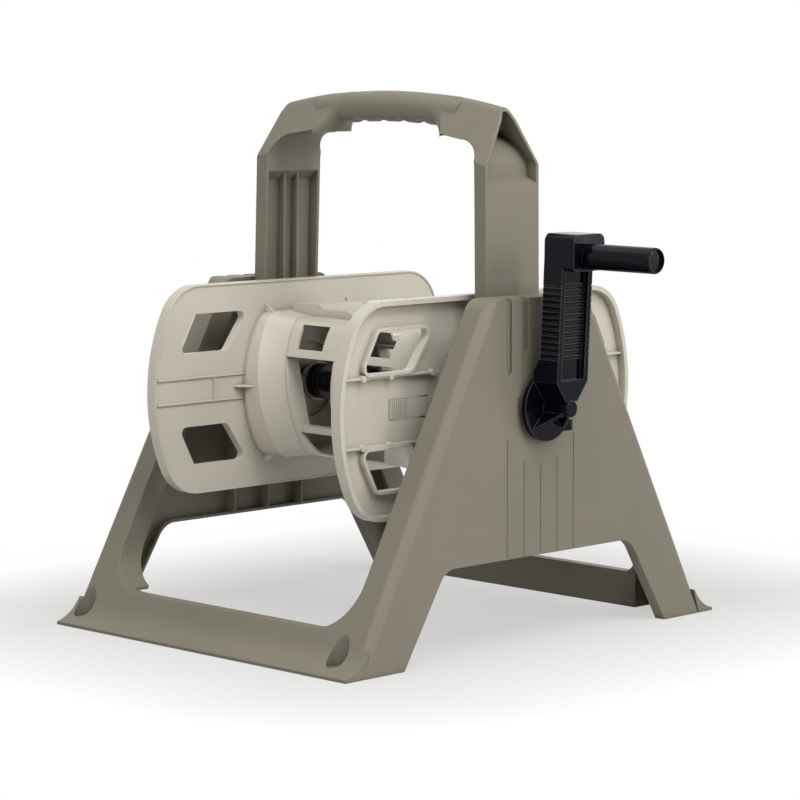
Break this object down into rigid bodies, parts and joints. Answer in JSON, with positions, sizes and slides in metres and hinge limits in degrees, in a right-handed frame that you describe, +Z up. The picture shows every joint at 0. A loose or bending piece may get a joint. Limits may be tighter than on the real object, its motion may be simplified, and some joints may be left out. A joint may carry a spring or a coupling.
{
  "type": "hose reel",
  "caption": "Free-standing garden hose reel: moulded A-frame with a carry handle, two long flanges on a windowed drum, a side crank with a turning grip and a swivel hose inlet.",
  "frame": {"origin": "middle of the bounding box at floor level, under the reel", "axes": "+X along the reel's axle towards the crank, -Y is the front, +Z up"},
  "size_m": [0.6048, 0.544, 0.5362],
  "materials": {
    "frame_plastic": "fine satin moulding",
    "reel_plastic": "semi-gloss moulding",
    "crank_plastic": "glossy moulding",
    "black_matte": "satin moulding",
    "screw_steel": "zinc plated",
    "seal_rubber": "matt"
  },
  "bodies": {
    "frame": {"base_frame": "frame_plastic", "handle": "frame_plastic", "handle_screws": "screw_steel", "bearing_left": "black_matte", "bearing_right": "black_matte", "inlet_tube": "black_matte", "inlet_screws": "screw_steel", "o_rings": "seal_rubber"},
    "inlet_nut": {"inlet_nut": "black_matte", "inlet_washer": "seal_rubber"},
    "reel": {"flange_left": "reel_plastic", "flange_right": "reel_plastic", "drum_left": "reel_plastic", "drum_right": "reel_plastic", "hose_ramp": "reel_plastic", "out_tube": "black_matte", "tube_clip": "reel_plastic", "flange_screws": "screw_steel", "crank_arm": "crank_plastic", "crank_screw": "screw_steel", "grip_pin": "screw_steel"},
    "grip": {"crank_grip": "crank_plastic", "grip_cap": "crank_plastic"}
  },
  "joints": [
    {"name": "reel_spin", "type": "hinge", "parent": "frame", "child": "reel", "pos_m": [0, 0, 0.235], "axis": [1, 0, 0], "continuous": true},
    {"name": "grip_spin", "type": "hinge", "parent": "reel", "child": "grip", "pos_m": [0.25, 0, 0.383], "axis": [1, 0, 0], "continuous": true},
    {"name": "inlet_nut_spin", "type": "hinge", "parent": "frame", "child": "inlet_nut", "pos_m": [-0.29, 0, 0.235], "axis": [1, 0, 0], "continuous": true}
  ]
}
